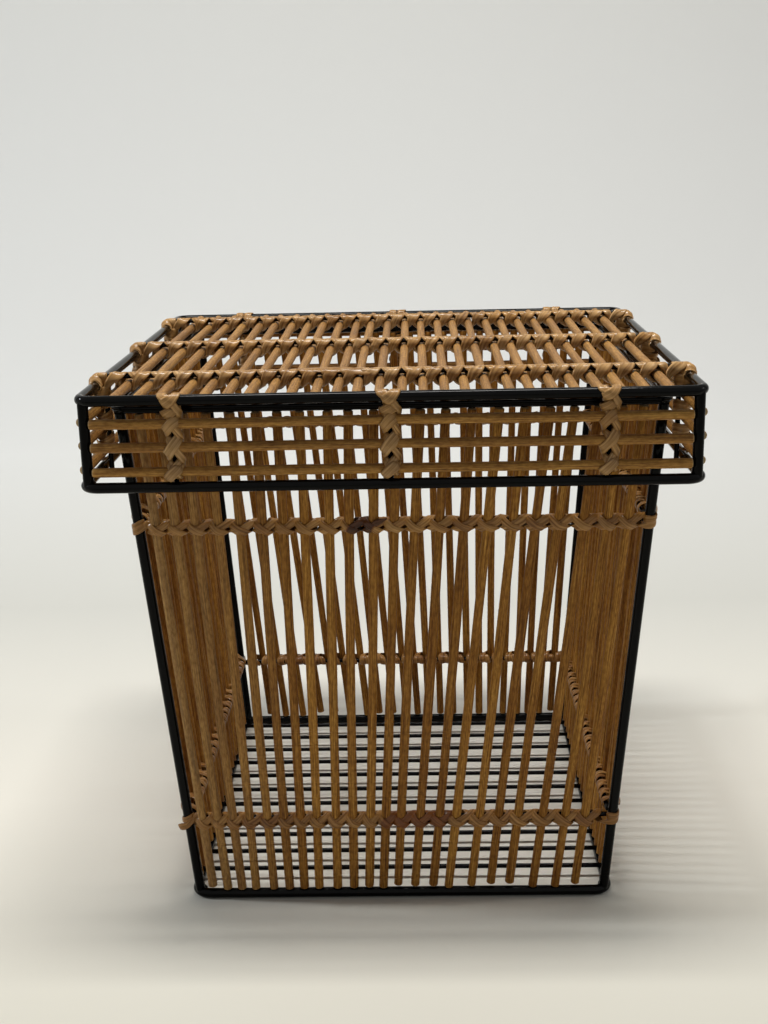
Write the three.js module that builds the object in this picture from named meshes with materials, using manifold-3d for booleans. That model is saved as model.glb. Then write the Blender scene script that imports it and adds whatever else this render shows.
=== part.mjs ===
// A square basket with a lift-off lid, in millimetres, +Z up.
// Bent and welded iron rod makes the frame, and thin wires cross it. Straight rattan canes
// stand beside the wires, and one strand of split peel binds each wire to its canes.
// The origin is on the floor under the middle of the base ring, and the front faces -Y.
import * as THREE from 'three';
import Module from 'manifold-3d';
import { mergeVertices } from 'three/addons/utils/BufferGeometryUtils.js';

// Sizes of the frame, from centre line to centre line
const BASE_WIDTH = 273;
const BASE_DEPTH = 281;
const MOUTH_WIDTH = 326;
const MOUTH_DEPTH = 324;
const BODY_HEIGHT = 333;
const LID_WIDTH = 360;
const LID_DEPTH = 360;
const SKIRT_HEIGHT = 51.5;
const RING_BEND_RADIUS = 9;

// Stock that the basket is made of
const ROD_RADIUS = 3.2;
const WIRE_RADIUS = 1.6;
const CANE_RADIUS = 2.9;
const PEEL_WIDTH = 3.6;
const PEEL_RIDGE = 1.3;
const SEAT_GAP = 0.3;

// How the canes and wires are set out
const LOWER_LASHING_HEIGHT = 54;
const UPPER_LASHING_HEIGHT = 258;
const BOTTOM_WIRE_COUNT = 11;
const WALL_CANE_COUNT = 22;
const LID_CANE_COUNT = 26;
const LID_EDGE_PLACES = 1.8;
const LID_WIRE_SHARE = 0.35;
const FOOT_LIFT = 3;
const SIDE_CANE_DRIFT = 2.4;
const DRIFT_TURN = 2.4;
const SIDE_EDGE_PLACES = 1.5;
const SKIRT_CANE_SHARES = [0.265, 0.535, 0.82];

// Where the front and back canes stand along their wall, from its left post to its right one
const CANE_FOOT_SHARES = [
  0.042, 0.078, 0.113, 0.147, 0.191, 0.229, 0.265, 0.301, 0.346, 0.386, 0.423,
  0.457, 0.493, 0.534, 0.578, 0.615, 0.67, 0.717, 0.762, 0.818, 0.872, 0.92,
];
const CANE_HEAD_SHARES = [
  0.045, 0.083, 0.125, 0.166, 0.21, 0.256, 0.295, 0.336, 0.386, 0.424, 0.47,
  0.511, 0.554, 0.6, 0.647, 0.696, 0.742, 0.788, 0.831, 0.874, 0.917, 0.955,
];
// Some of those canes are cut short at the foot, by these shares of the largest lift
const FOOT_LIFT_SHARES = [
  0.7, 0, 0, 0, 0, 0, 0.1, 0.1, 0.1, 0.2, 0.35,
  0.1, 0.7, 0.5, 0.5, 0, 0.45, 0.9, 1, 0, 0, 0.7,
];

// How a strand of peel winds round a cane and its wire
const PASS_HALF_LENGTH = 3.9;
const PASS_SLANT = 1.8;
const PEEL_BITE = 0.4;
const DIVE_HALF_LENGTH = 1;
const WRAP_SHIFT = 4.4;
const WRAP_STEP_DEGREES = 60;
const WRAP_ANGLES = [0, WRAP_STEP_DEGREES, 2 * WRAP_STEP_DEGREES];
// How much of its height over a rail a strand still has where it crosses the mouth ring
const HEIGHT_KEPT_SHARE = 0.25;

const ROD_SIDES = 8;
const WIRE_SIDES = 6;
const CANE_SIDES = 6;
const BEND_STEPS = 3;

const IRON = { color: 0x0c0c0d, roughness: 0.28, metalness: 0.55 };
const CANE = { color: 0xb4834a, roughness: 0.5, metalness: 0 };

const VERTICAL = new THREE.Vector3(0, 0, 1);
const FRONTWARD = new THREE.Vector3(0, -1, 0);
const wasm = await Module();
wasm.setup();

// A rod section has flats, so its corners stand out past its radius
const ROD_CORNER = ROD_RADIUS / Math.cos(Math.PI / ROD_SIDES);
// A wire lies against a rod, and the canes lie between the rods, clear of the wire
const WIRE_OFFSET = ROD_CORNER + SEAT_GAP + WIRE_RADIUS;
// The lid's canes leave a wider place at either side, and its upright wires pass between them
const LID_CANE_PITCH = LID_WIDTH / (LID_CANE_COUNT - 1 + 2 * LID_EDGE_PLACES);
const LID_WIRE_RUN = Math.round((LID_WIRE_SHARE * LID_WIDTH) / LID_CANE_PITCH) * LID_CANE_PITCH;
const LID_WIRE_ROW = LID_WIRE_SHARE * LID_DEPTH;
// A post stands in the bend of a ring, a little inside the corner of the centre lines
const POST_INSET = RING_BEND_RADIUS * (1 - Math.SQRT1_2);
const PASS_FRONT = CANE_RADIUS - PEEL_BITE;
const PASS_BACK = WIRE_OFFSET + WIRE_RADIUS + SEAT_GAP;
const DIVE_SPREAD = WIRE_RADIUS + SEAT_GAP + PEEL_RIDGE;
const WRAP_HALF_STEP = THREE.MathUtils.degToRad(WRAP_STEP_DEGREES / 2);
const WRAP_RADIUS = (ROD_CORNER + 2 * SEAT_GAP) / Math.cos(WRAP_HALF_STEP);
// The lid rests on the mouth ring by the strands under its canes
const STRAND_REACH = PEEL_RIDGE + PASS_FRONT + HEIGHT_KEPT_SHARE * (WRAP_RADIUS - PASS_FRONT);
const LID_RISE = ROD_RADIUS + SEAT_GAP + STRAND_REACH;

function meshOf(name, geometry, finish) {
  geometry.computeVertexNormals();
  const mesh = new THREE.Mesh(geometry, new THREE.MeshStandardMaterial(finish));
  mesh.name = name;
  return mesh;
}

// Joins a row of equal rings of points into one closed skin with its faces outwards.
// A loop joins its last ring to its first, and an open skin gets an end face at each end.
function skin(rings, isLoop) {
  const corners = rings[0].length;
  const points = rings.flat();
  const faces = [];
  const spans = isLoop ? rings.length : rings.length - 1;
  for (let ring = 0; ring < spans; ring += 1) {
    const next = (ring + 1) % rings.length;
    for (let corner = 0; corner < corners; corner += 1) {
      const beside = (corner + 1) % corners;
      const a = ring * corners + corner;
      const b = ring * corners + beside;
      const c = next * corners + beside;
      const d = next * corners + corner;
      faces.push([a, b, c], [a, c, d]);
    }
  }
  if (!isLoop) {
    const last = (rings.length - 1) * corners;
    for (let corner = 1; corner < corners - 1; corner += 1) {
      faces.push([0, corner + 1, corner], [last, last + corner, last + corner + 1]);
    }
  }
  const volume = faces.reduce((sum, [a, b, c]) => {
    const cross = new THREE.Vector3().crossVectors(points[b], points[c]);
    return sum + points[a].dot(cross);
  }, 0);
  const outward = volume > 0 ? faces : faces.map(([a, b, c]) => [a, c, b]);
  const geometry = new THREE.BufferGeometry().setFromPoints(points);
  geometry.setIndex(outward.flat());
  return geometry;
}

// Points round a many-sided section, the first of them turned by a share of one side
function section(middle, first, second, radius, sides, turnShare) {
  return Array.from({ length: sides }, (_, index) => {
    const angle = ((index + turnShare) / sides) * Math.PI * 2;
    return middle.clone()
      .addScaledVector(first, radius * Math.cos(angle))
      .addScaledVector(second, radius * Math.sin(angle));
  });
}

// A straight bar from one point to another, with a corner of its section facing one way
function bar(start, end, radius, sides, facing) {
  const heading = new THREE.Vector3().subVectors(end, start).normalize();
  const second = new THREE.Vector3().crossVectors(heading, facing).normalize();
  const first = new THREE.Vector3().crossVectors(second, heading);
  return skin([start, end].map((middle) => section(middle, first, second, radius, sides, 0)), false);
}

function solidOf(geometry) {
  const bare = geometry.clone();
  bare.deleteAttribute('normal');
  bare.deleteAttribute('uv');
  const merged = mergeVertices(bare, SEAT_GAP / 1000);
  return new wasm.Manifold(new wasm.Mesh({
    numProp: 3,
    vertProperties: new Float32Array(merged.attributes.position.array),
    triVerts: new Uint32Array(merged.index.array),
  }));
}

// Joins closed geometries that run into each other into one body
function join(geometries) {
  const whole = geometries.map(solidOf).reduce((sum, solid) => sum.add(solid));
  const result = whole.getMesh();
  const geometry = new THREE.BufferGeometry();
  const positions = [];
  for (let at = 0; at < result.vertProperties.length; at += result.numProp) {
    positions.push(...result.vertProperties.slice(at, at + 3));
  }
  geometry.setAttribute('position', new THREE.Float32BufferAttribute(positions, 3));
  geometry.setIndex([...result.triVerts]);
  return geometry;
}

// A ring of rod bent at its four corners, level, round the origin
function ring(name, width, depth) {
  const rings = [];
  for (let corner = 0; corner < 4; corner += 1) {
    const quarter = (corner * Math.PI) / 2;
    const toRight = corner === 0 || corner === 3 ? 1 : -1;
    const toBack = corner < 2 ? 1 : -1;
    const centreX = toRight * (width / 2 - RING_BEND_RADIUS);
    const centreY = toBack * (depth / 2 - RING_BEND_RADIUS);
    for (let step = 0; step <= BEND_STEPS; step += 1) {
      const heading = quarter + (step / BEND_STEPS) * (Math.PI / 2);
      const outward = new THREE.Vector3(Math.cos(heading), Math.sin(heading), 0);
      const middle = new THREE.Vector3(centreX, centreY, 0).addScaledVector(outward, RING_BEND_RADIUS);
      rings.push(section(middle, outward, VERTICAL, ROD_CORNER, ROD_SIDES, 0.5));
    }
  }
  return meshOf(name, skin(rings, true), IRON);
}

// The four posts that stand in the bends between a lower and an upper ring
function posts(prefix, lower, upper) {
  const group = new THREE.Group();
  for (const [place, toRight, toBack] of [
    ['front_left', -1, -1], ['front_right', 1, -1], ['back_left', -1, 1], ['back_right', 1, 1],
  ]) {
    const cornerOf = ({ width, depth, height }) => new THREE.Vector3(
      toRight * (width / 2 - POST_INSET),
      toBack * (depth / 2 - POST_INSET),
      height,
    );
    const foot = cornerOf(lower);
    const head = cornerOf(upper);
    const lean = new THREE.Vector3().subVectors(head, foot).normalize();
    const clear = (ROD_RADIUS + SEAT_GAP) / lean.z + ROD_CORNER * Math.sqrt(1 - lean.z * lean.z);
    foot.addScaledVector(lean, clear);
    head.addScaledVector(lean, -clear);
    group.add(meshOf(`${prefix}_${place}`, bar(foot, head, ROD_CORNER, ROD_SIDES, FRONTWARD), IRON));
  }
  return group;
}

// One strand of peel that binds a row of canes to the wire behind them.
// A place or a direction on it is told by three runs: along the wire, to the front, and across.
// Over each cane the strand slants across the front, and between canes it dives round the wire.
// At each end that has a rod, told by its run and depth, the strand wraps round the rod.
// A binding strand bites into every cane, and any other only into the two outermost canes.
function lashing({ origin, along, front, across, crossings, startRod, endRod, isBinding }) {
  const fromRuns = (run, depth, rise) => new THREE.Vector3()
    .addScaledVector(along, run).addScaledVector(front, depth).addScaledVector(across, rise);
  const sections = [];
  const addSection = (place, heading, out) => {
    const point = fromRuns(...place).add(origin);
    const ridge = fromRuns(...out).normalize();
    const side = new THREE.Vector3().crossVectors(fromRuns(...heading), ridge).normalize();
    sections.push([
      point.clone().addScaledVector(side, -PEEL_WIDTH / 2),
      point.clone().addScaledVector(side, PEEL_WIDTH / 2),
      point.clone().addScaledVector(ridge, PEEL_RIDGE),
    ]);
  };
  const wrap = (rod, direction, angles) => {
    for (const degrees of angles) {
      const sine = direction * Math.sin(THREE.MathUtils.degToRad(degrees));
      const cosine = Math.cos(THREE.MathUtils.degToRad(degrees));
      addSection(
        [rod.run + WRAP_RADIUS * sine, rod.depth + WRAP_RADIUS * cosine, -direction * WRAP_SHIFT],
        [cosine, -sine, 0],
        [sine, cosine, 0],
      );
    }
  };
  const passHeading = [PASS_HALF_LENGTH, 0, -PASS_SLANT];
  const diveHeading = [DIVE_HALF_LENGTH, 0, DIVE_SPREAD];
  wrap(startRod, -1, [...WRAP_ANGLES].reverse());
  crossings.forEach((run, index) => {
    const isLast = index === crossings.length - 1;
    const depth = isBinding || index === 0 || isLast ? PASS_FRONT : CANE_RADIUS + SEAT_GAP;
    addSection([run - PASS_HALF_LENGTH, depth, PASS_SLANT], passHeading, [0, 1, 0]);
    addSection([run + PASS_HALF_LENGTH, depth, -PASS_SLANT], passHeading, [0, 1, 0]);
    if (!isLast) {
      const middle = (run + crossings[index + 1]) / 2;
      addSection([middle - DIVE_HALF_LENGTH, -PASS_BACK, -DIVE_SPREAD], diveHeading, [0, -1, 0]);
      addSection([middle + DIVE_HALF_LENGTH, -PASS_BACK, DIVE_SPREAD], diveHeading, [0, -1, 0]);
    }
  });
  if (endRod) wrap(endRod, 1, WRAP_ANGLES);
  return skin(sections, false);
}

// One wall of the body, drawn as the front wall: X along it, +Z up its slope, -Y outwards.
// The canes stand between the base ring and the mouth ring, and two wires pass behind them.
function wall(name, size) {
  const { baseWidth, mouthWidth, slope, wireRise, footShares, headShares, liftShares } = size;
  const group = new THREE.Group();
  const caneClear = ROD_CORNER + 2 * SEAT_GAP;
  const halfWidthAt = (height) => {
    const share = height / slope;
    return ((1 - share) * baseWidth + share * mouthWidth) / 2;
  };
  const canes = footShares.map((footShare, index) => {
    const lift = FOOT_LIFT * liftShares[index];
    const foot = new THREE.Vector3((footShare - 0.5) * baseWidth, 0, caneClear + lift);
    const head = new THREE.Vector3((headShares[index] - 0.5) * mouthWidth, 0, slope - caneClear);
    return { foot, head };
  });
  const pieces = canes.map(({ foot, head }) => bar(foot, head, CANE_RADIUS, CANE_SIDES, FRONTWARD));
  for (const [level, height] of [['lower', LOWER_LASHING_HEIGHT], ['upper', UPPER_LASHING_HEIGHT]]) {
    const rise = height + wireRise;
    const postAt = (shift) => ({ run: halfWidthAt(rise + shift) - POST_INSET, depth: -POST_INSET });
    const wireEnd = postAt(0).run - ROD_CORNER - SEAT_GAP;
    const start = new THREE.Vector3(-wireEnd, WIRE_OFFSET, rise);
    const end = new THREE.Vector3(wireEnd, WIRE_OFFSET, rise);
    const wire = bar(start, end, WIRE_RADIUS, WIRE_SIDES, FRONTWARD);
    group.add(meshOf(`${name}_wire_${level}`, wire, IRON));
    pieces.push(lashing({
      origin: new THREE.Vector3(0, 0, rise),
      along: new THREE.Vector3(1, 0, 0),
      front: FRONTWARD,
      across: VERTICAL,
      crossings: canes.map(({ foot, head }) => {
        const share = (rise - foot.z) / (head.z - foot.z);
        return foot.x + (head.x - foot.x) * share;
      }),
      startRod: { run: -postAt(WRAP_SHIFT).run, depth: -POST_INSET },
      endRod: postAt(-WRAP_SHIFT),
      isBinding: level === 'upper',
    }));
  }
  group.add(meshOf(`${name}_cane_wall`, join(pieces), CANE));
  return group;
}

// Stands a wall or a skirt at its side of the plan: turned about Z, moved out, and leaned out
function atSide(piece, quarterTurns, distance, lean, height) {
  const leaning = new THREE.Group();
  leaning.position.set(0, -distance, height);
  leaning.rotation.x = lean;
  leaning.add(piece);
  const turned = new THREE.Group();
  turned.rotation.z = (quarterTurns * Math.PI) / 2;
  turned.add(leaning);
  return turned;
}

// The feet of a side wall's canes pass between the bottom wires, so their shares are even.
// Higher up they drift a little to either side.
function evenShares(drift) {
  const places = WALL_CANE_COUNT - 1 + 2 * SIDE_EDGE_PLACES;
  return Array.from({ length: WALL_CANE_COUNT }, (_, index) => {
    const even = (index + SIDE_EDGE_PLACES) / places;
    return even + (drift / MOUTH_DEPTH) * Math.sin(index * DRIFT_TURN);
  });
}

function body() {
  const group = new THREE.Group();
  const baseRing = ring('base_ring', BASE_WIDTH, BASE_DEPTH);
  baseRing.position.z = ROD_RADIUS;
  const mouthRing = ring('mouth_ring', MOUTH_WIDTH, MOUTH_DEPTH);
  mouthRing.position.z = ROD_RADIUS + BODY_HEIGHT;
  group.add(baseRing, mouthRing, posts(
    'post',
    { width: BASE_WIDTH, depth: BASE_DEPTH, height: ROD_RADIUS },
    { width: MOUTH_WIDTH, depth: MOUTH_DEPTH, height: ROD_RADIUS + BODY_HEIGHT },
  ));

  // The bottom wires lie on the two side rails of the base ring
  const wirePitch = BASE_DEPTH / (BOTTOM_WIRE_COUNT + 1);
  for (let index = 1; index <= BOTTOM_WIRE_COUNT; index += 1) {
    const end = new THREE.Vector3(BASE_WIDTH / 2, 0, 0);
    const wire = bar(end.clone().negate(), end, WIRE_RADIUS, WIRE_SIDES, FRONTWARD);
    const mesh = meshOf(`bottom_wire_${String(index).padStart(2, '0')}`, wire, IRON);
    mesh.position.y = index * wirePitch - BASE_DEPTH / 2;
    mesh.position.z = 2 * ROD_RADIUS + SEAT_GAP + WIRE_RADIUS;
    group.add(mesh);
  }

  const splayFront = (MOUTH_DEPTH - BASE_DEPTH) / 2;
  const splaySide = (MOUTH_WIDTH - BASE_WIDTH) / 2;
  const frontSize = {
    baseWidth: BASE_WIDTH,
    mouthWidth: MOUTH_WIDTH,
    slope: Math.hypot(BODY_HEIGHT, splayFront),
    wireRise: 0,
    footShares: CANE_FOOT_SHARES,
    headShares: CANE_HEAD_SHARES,
    liftShares: FOOT_LIFT_SHARES,
  };
  const sideSize = {
    baseWidth: BASE_DEPTH,
    mouthWidth: MOUTH_DEPTH,
    slope: Math.hypot(BODY_HEIGHT, splaySide),
    wireRise: 2 * WIRE_RADIUS + SEAT_GAP,
    footShares: evenShares(0),
    headShares: evenShares(SIDE_CANE_DRIFT),
    liftShares: new Array(WALL_CANE_COUNT).fill(0),
  };
  const frontLean = Math.atan2(splayFront, BODY_HEIGHT);
  const sideLean = Math.atan2(splaySide, BODY_HEIGHT);
  group.add(atSide(wall('front', frontSize), 0, BASE_DEPTH / 2, frontLean, ROD_RADIUS));
  group.add(atSide(wall('right', sideSize), 1, BASE_WIDTH / 2, sideLean, ROD_RADIUS));
  group.add(atSide(wall('back', frontSize), 2, BASE_DEPTH / 2, frontLean, ROD_RADIUS));
  group.add(atSide(wall('left', sideSize), 3, BASE_WIDTH / 2, sideLean, ROD_RADIUS));
  return group;
}

// One side of the lid's skirt, drawn as the front one, with the top ring at height zero.
// Three level canes lie between the posts, and three upright wires pass behind them.
function skirt(name, width, wireRun) {
  const group = new THREE.Group();
  const caneEnd = width / 2 - POST_INSET - ROD_CORNER - SEAT_GAP;
  const drops = SKIRT_CANE_SHARES.map((share) => share * SKIRT_HEIGHT);
  const pieces = drops.map((drop) => bar(
    new THREE.Vector3(-caneEnd, 0, -drop),
    new THREE.Vector3(caneEnd, 0, -drop),
    CANE_RADIUS,
    CANE_SIDES,
    FRONTWARD,
  ));
  for (const [place, run] of [['left', -wireRun], ['middle', 0], ['right', wireRun]]) {
    const foot = new THREE.Vector3(run, WIRE_OFFSET, -SKIRT_HEIGHT);
    const head = new THREE.Vector3(run, WIRE_OFFSET, 0);
    const wire = bar(foot, head, WIRE_RADIUS, WIRE_SIDES, FRONTWARD);
    group.add(meshOf(`lid_${name}_wire_${place}`, wire, IRON));
    pieces.push(lashing({
      origin: new THREE.Vector3(run, 0, 0),
      along: new THREE.Vector3(0, 0, -1),
      front: FRONTWARD,
      across: new THREE.Vector3(1, 0, 0),
      crossings: drops,
      startRod: { run: 0, depth: 0 },
      endRod: null,
      isBinding: true,
    }));
  }
  group.add(meshOf(`lid_${name}_skirt`, join(pieces), CANE));
  return group;
}

// The canes of the lid run from front to back inside its top ring, bound under three wires
function lidTop() {
  const group = new THREE.Group();
  const caneEnd = LID_DEPTH / 2 - ROD_CORNER - SEAT_GAP;
  const runs = Array.from(
    { length: LID_CANE_COUNT },
    (_, index) => (index - (LID_CANE_COUNT - 1) / 2) * LID_CANE_PITCH,
  );
  const pieces = runs.map((run) => bar(
    new THREE.Vector3(run, -caneEnd, 0),
    new THREE.Vector3(run, caneEnd, 0),
    CANE_RADIUS,
    CANE_SIDES,
    VERTICAL,
  ));
  for (const [place, row] of [['front', -LID_WIRE_ROW], ['middle', 0], ['back', LID_WIRE_ROW]]) {
    const end = new THREE.Vector3(LID_WIDTH / 2, row, WIRE_OFFSET);
    const start = new THREE.Vector3(-LID_WIDTH / 2, row, WIRE_OFFSET);
    const wire = bar(start, end, WIRE_RADIUS, WIRE_SIDES, VERTICAL);
    group.add(meshOf(`lid_cross_wire_${place}`, wire, IRON));
    pieces.push(lashing({
      origin: new THREE.Vector3(0, row, 0),
      along: new THREE.Vector3(1, 0, 0),
      front: new THREE.Vector3(0, 0, -1),
      across: new THREE.Vector3(0, 1, 0),
      crossings: runs,
      startRod: { run: -LID_WIDTH / 2, depth: 0 },
      endRod: { run: LID_WIDTH / 2, depth: 0 },
      isBinding: place === 'middle',
    }));
  }
  group.add(meshOf('lid_cane_panel', join(pieces), CANE));
  return group;
}

function lid() {
  const group = new THREE.Group();
  const lowerRing = ring('lid_lower_ring', LID_WIDTH, LID_DEPTH);
  lowerRing.position.z = -SKIRT_HEIGHT;
  group.add(ring('lid_upper_ring', LID_WIDTH, LID_DEPTH), lowerRing, posts(
    'lid_post',
    { width: LID_WIDTH, depth: LID_DEPTH, height: -SKIRT_HEIGHT },
    { width: LID_WIDTH, depth: LID_DEPTH, height: 0 },
  ));
  group.add(lidTop());
  group.add(atSide(skirt('front', LID_WIDTH, LID_WIRE_RUN), 0, LID_DEPTH / 2, 0, 0));
  group.add(atSide(skirt('right', LID_DEPTH, LID_WIRE_ROW), 1, LID_WIDTH / 2, 0, 0));
  group.add(atSide(skirt('back', LID_WIDTH, LID_WIRE_RUN), 2, LID_DEPTH / 2, 0, 0));
  group.add(atSide(skirt('left', LID_DEPTH, LID_WIRE_ROW), 3, LID_WIDTH / 2, 0, 0));
  return group;
}

const basket = new THREE.Group();
basket.name = 'basket';
const liftedLid = lid();
liftedLid.position.z = ROD_RADIUS + BODY_HEIGHT + LID_RISE;
basket.add(body(), liftedLid);

export default basket;
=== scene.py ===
import math

import bpy
import numpy as np
from mathutils import Matrix, Vector


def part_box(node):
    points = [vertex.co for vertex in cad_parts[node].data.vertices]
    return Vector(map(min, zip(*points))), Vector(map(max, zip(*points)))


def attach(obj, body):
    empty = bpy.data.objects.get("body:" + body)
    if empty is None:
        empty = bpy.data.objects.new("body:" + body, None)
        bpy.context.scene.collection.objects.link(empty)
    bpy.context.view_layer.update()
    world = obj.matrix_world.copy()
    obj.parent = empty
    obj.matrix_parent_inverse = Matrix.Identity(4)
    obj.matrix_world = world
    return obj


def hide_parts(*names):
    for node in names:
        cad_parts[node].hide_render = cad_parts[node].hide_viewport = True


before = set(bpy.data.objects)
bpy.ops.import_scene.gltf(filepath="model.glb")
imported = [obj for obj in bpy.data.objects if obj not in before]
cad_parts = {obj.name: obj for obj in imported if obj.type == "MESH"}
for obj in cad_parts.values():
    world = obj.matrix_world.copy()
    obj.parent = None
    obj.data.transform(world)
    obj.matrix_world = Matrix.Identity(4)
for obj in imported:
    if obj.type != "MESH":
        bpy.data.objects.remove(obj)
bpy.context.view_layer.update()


# The view is the photograph's: from in front and a little above the lid, with the camera
# turned slightly to the left and tipped a little to one side.
camera_place = Vector((0.0168, -0.9603, 0.4906))
look_down, look_aside, tip = (math.radians(angle) for angle in (15.408, -1.571, -1.327))
ahead = Vector((
    math.sin(look_aside) * math.cos(look_down),
    math.cos(look_aside) * math.cos(look_down),
    -math.sin(look_down),
))
level_right = Vector((math.cos(look_aside), -math.sin(look_aside), 0))
level_up = level_right.cross(ahead)
camera_right = math.cos(tip) * level_right + math.sin(tip) * level_up
camera_up = math.cos(tip) * level_up - math.sin(tip) * level_right

camera_data = bpy.data.cameras.new("camera")
camera_data.sensor_width = 36
camera_data.lens = 48.69
camera = bpy.data.objects.new("camera", camera_data)
turn = Matrix((camera_right, camera_up, -ahead)).transposed()
camera.matrix_world = Matrix.Translation(camera_place) @ turn.to_4x4()
bpy.context.scene.collection.objects.link(camera)
bpy.context.scene.camera = camera


# The iron rings: round rod bent at four corners and welded shut, one under the walls, one
# round the mouth and two in the lid. The paint is thick gloss black, with small runs in it.
rod_radius = 0.0032
bend_radius = 0.009
rod_sides = 28
bend_steps = 13


def ring_line(node):
    """Centre line of a square ring and its outward directions, as two (points, 3) arrays.
    Each corner is a quarter circle of the bend's radius, and straight sides join them."""
    low, high = (np.array(corner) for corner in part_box(node))
    middle = (low + high) / 2
    reach = (high - low)[:2] / 2 - rod_radius - bend_radius
    quarters = np.concatenate([np.linspace(start, start + 1, bend_steps) for start in range(4)])
    corner = np.repeat(np.array([[1, 1], [-1, 1], [-1, -1], [1, -1]]), bend_steps, axis=0)
    angle = quarters * np.pi / 2
    outward = np.stack([np.cos(angle), np.sin(angle), 0 * angle], axis=1)
    line = outward * bend_radius
    line[:, :2] += corner * reach
    return line + middle, outward


def carried(line, outward, section, loop):
    """Carries a section along a line: grid point (i, j) is line point i, plus the section's
    first number along the side direction and its second along the outward direction. The side
    direction is the line's tangent crossed with the outward one. Section is (j, 2) or (i, j, 2).
    """
    if loop:
        tangent = np.roll(line, -1, axis=0) - np.roll(line, 1, axis=0)
    else:
        tangent = np.gradient(line, axis=0)
    tangent /= np.linalg.norm(tangent, axis=1, keepdims=True)
    out = outward - (outward * tangent).sum(axis=1, keepdims=True) * tangent
    out /= np.linalg.norm(out, axis=1, keepdims=True)
    side = np.cross(tangent, out)
    section = np.broadcast_to(section, (len(line), *section.shape[-2:]))
    return line[:, None] + section[..., :1] * side[:, None] + section[..., 1:] * out[:, None]


def circle_section(radius, sides):
    """A circle of that radius as (sides, 2) numbers."""
    turns = np.arange(sides) / sides * 2 * np.pi
    return radius * np.stack([np.sin(turns), np.cos(turns)], axis=1)


grain_shift = 0.37


def piece_of_grids(name, grids, loop, tone, cut=0.0, faded=0.0):
    """A mesh of closed skins, from a (skins, rings, sides, 3) array of points. Sides run round
    each skin. A loop joins its last ring to its first, and any other skin gets an end face at
    either end. The map "grain" holds how far round and how far along a point is, in metres,
    with each skin a shift further on than the one before. "Tone" is a number or an array that
    spreads over the points, and "pale" is how faded the piece is, and at its ends how freshly
    cut."""
    skins, rings, sides, _ = grids.shape
    spans = rings if loop else rings - 1
    counts = np.arange(skins), np.arange(spans), np.arange(sides)
    skin, ring, side = np.meshgrid(*counts, indexing="ij")
    first = skin * rings * sides
    next_ring = (ring + 1) % rings
    next_side = (side + 1) % sides
    quads = np.stack([
        first + ring * sides + side,
        first + ring * sides + next_side,
        first + next_ring * sides + next_side,
        first + next_ring * sides + side,
    ], axis=-1)
    centres = grids.mean(axis=2)
    step = np.linalg.norm(np.diff(centres, axis=1, append=centres[:, :1]), axis=-1)
    along = np.concatenate([np.zeros((skins, 1)), np.cumsum(step, axis=1)], axis=1)
    half_way = grids[:, rings // 2]
    around = np.linalg.norm(half_way[:, 0] - half_way[:, 1], axis=-1)[:, None, None, None]
    grain_across = np.stack([side, side + 1, side + 1, side], axis=-1) * around
    here, there = along[skin, ring], along[skin, ring + 1]
    grain_along = np.stack([here, here, there, there], axis=-1)
    grain_along += np.arange(skins)[:, None, None, None] * grain_shift
    grain = np.stack([grain_across, grain_along], axis=-1)
    quads = quads.reshape(-1, 4)
    grain = grain.reshape(-1, 2)

    points = grids.reshape(-1, 3)
    corners = points[quads]
    volume = (corners[:, 0] * np.cross(corners[:, 1], corners[:, 2])).sum()
    volume += (corners[:, 0] * np.cross(corners[:, 2], corners[:, 3])).sum()
    if volume < 0:
        quads = quads[:, ::-1]
        grain = grain.reshape(-1, 4, 2)[:, ::-1].reshape(-1, 2)
    faces = quads.tolist()
    if not loop:
        start = np.arange(skins)[:, None] * rings * sides + np.arange(sides)[None]
        end = start + (rings - 1) * sides
        if volume > 0:
            start = start[:, ::-1]
        else:
            end = end[:, ::-1]
        faces += start.tolist() + end.tolist()
        grain = np.concatenate([grain, np.zeros((2 * skins * sides, 2))])

    mesh = bpy.data.meshes.new(name)
    mesh.from_pydata(points.tolist(), [], faces)
    mesh.polygons.foreach_set("use_smooth", np.ones(len(faces), dtype=bool))
    mesh.uv_layers.new(name="grain").data.foreach_set("uv", grain.astype(np.float32).ravel())
    tones = np.broadcast_to(tone, (skins, rings, sides)).astype(np.float32)
    mesh.attributes.new("tone", "FLOAT", "POINT").data.foreach_set("value", tones.ravel())
    pale = np.full((skins, rings, sides), faded, dtype=np.float32)
    pale[:, [0, -1]] = cut
    mesh.attributes.new("pale", "FLOAT", "POINT").data.foreach_set("value", pale.ravel())
    mesh.update()
    piece = bpy.data.objects.new(name, mesh)
    bpy.context.scene.collection.objects.link(piece)
    return piece


def new_finish(name, mirroring):
    """A material of that name, its node tree and its shader, and how strongly it mirrors."""
    finish = bpy.data.materials.new(name)
    finish.use_nodes = True
    shader = finish.node_tree.nodes["Principled BSDF"]
    shader.inputs["Specular IOR Level"].default_value = mirroring
    return finish, finish.node_tree, shader


def speckle(tree, where, scale, layers, fineness=0.5):
    """Noise over a place in space or on a map: waves of that scale, with finer layers added,
    each of which is weaker than the one before by the fineness."""
    noise = tree.nodes.new("ShaderNodeTexNoise")
    noise.inputs["Scale"].default_value = scale
    noise.inputs["Detail"].default_value = layers
    noise.inputs["Roughness"].default_value = fineness
    tree.links.new(where, noise.inputs["Vector"])
    return noise.outputs["Fac"]


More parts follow.
